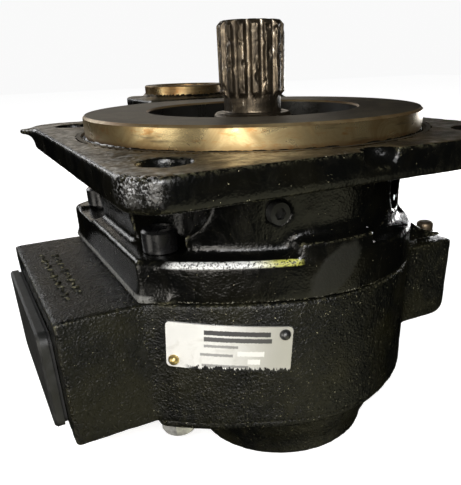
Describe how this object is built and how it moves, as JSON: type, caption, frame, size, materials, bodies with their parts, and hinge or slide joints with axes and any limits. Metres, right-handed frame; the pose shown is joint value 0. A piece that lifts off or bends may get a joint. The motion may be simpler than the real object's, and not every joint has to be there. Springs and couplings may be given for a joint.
{
  "type": "hydraulic gear pump",
  "caption": "External gear pump with a square mounting flange and round pilot, splined drive shaft, cast body with side port blocks, capped inlet, open outlet and a riveted blank nameplate.",
  "frame": {"origin": "on the drive shaft's axis, in the plane of the mounting face", "axes": "+Z along the shaft towards its free end, +X towards the outlet port, +Y from the drive gear towards the idler gear"},
  "size_m": [0.1844, 0.2035, 0.1755],
  "materials": {
    "casing_paint": "oily black enamel over rough cast iron, with bare machined faces on the flange pilot and port collar",
    "shaft_steel": "oily hardened steel",
    "bronze": "turned bronze",
    "seal_rubber": "matt rubber",
    "bright_steel": "ground steel",
    "dark_screw_steel": "black oxide under black enamel",
    "nut_steel": "dull plated steel with paint on it",
    "cap_plastic": "satin black moulding",
    "gasket": "matt sheet",
    "plug_brown": "stained brass",
    "plate_aluminium": "satin etched sheet",
    "rivet_brass": "domed brass",
    "rivet_steel": "dark domed steel"
  },
  "bodies": {
    "housing": {"mounting_cover": "casing_paint", "gear_housing": "casing_paint", "rear_cover": "casing_paint", "front_wear_plate": "bronze", "rear_wear_plate": "bronze", "front_drive_bush": "bronze", "front_idler_bush": "bronze", "rear_drive_bush": "bronze", "rear_idler_bush": "bronze", "front_pressure_seal": "seal_rubber", "rear_pressure_seal": "seal_rubber", "front_joint_seal": "seal_rubber", "rear_joint_seal": "seal_rubber", "shaft_seal_case": "bright_steel", "shaft_seal_lip": "seal_rubber", "seal_circlip": "bright_steel", "front_dowels": "bright_steel", "rear_dowels": "bright_steel", "cover_screws": "dark_screw_steel", "rear_nuts": "nut_steel", "inlet_port_cover": "cap_plastic", "inlet_gasket": "gasket", "bleed_plug": "plug_brown", "gallery_plug": "dark_screw_steel", "nameplate": "plate_aluminium", "nameplate_rivet_brass": "rivet_brass", "nameplate_rivet_steel": "rivet_steel"},
    "drive_shaft": {"drive_gear_shaft": "shaft_steel"},
    "idler_shaft": {"idler_gear_shaft": "shaft_steel"}
  },
  "joints": [
    {"name": "drive_spin", "type": "hinge", "parent": "housing", "child": "drive_shaft", "pos_m": [0, 0, 0], "axis": [0, 0, 1], "continuous": true},
    {"name": "idler_spin", "type": "hinge", "parent": "housing", "child": "idler_shaft", "pos_m": [0, 0.057, 0], "axis": [0, 0, 1], "continuous": true}
  ],
  "couplings": [
    {"joint": "idler_spin", "follows": "drive_spin", "ratio": -1}
  ]
}
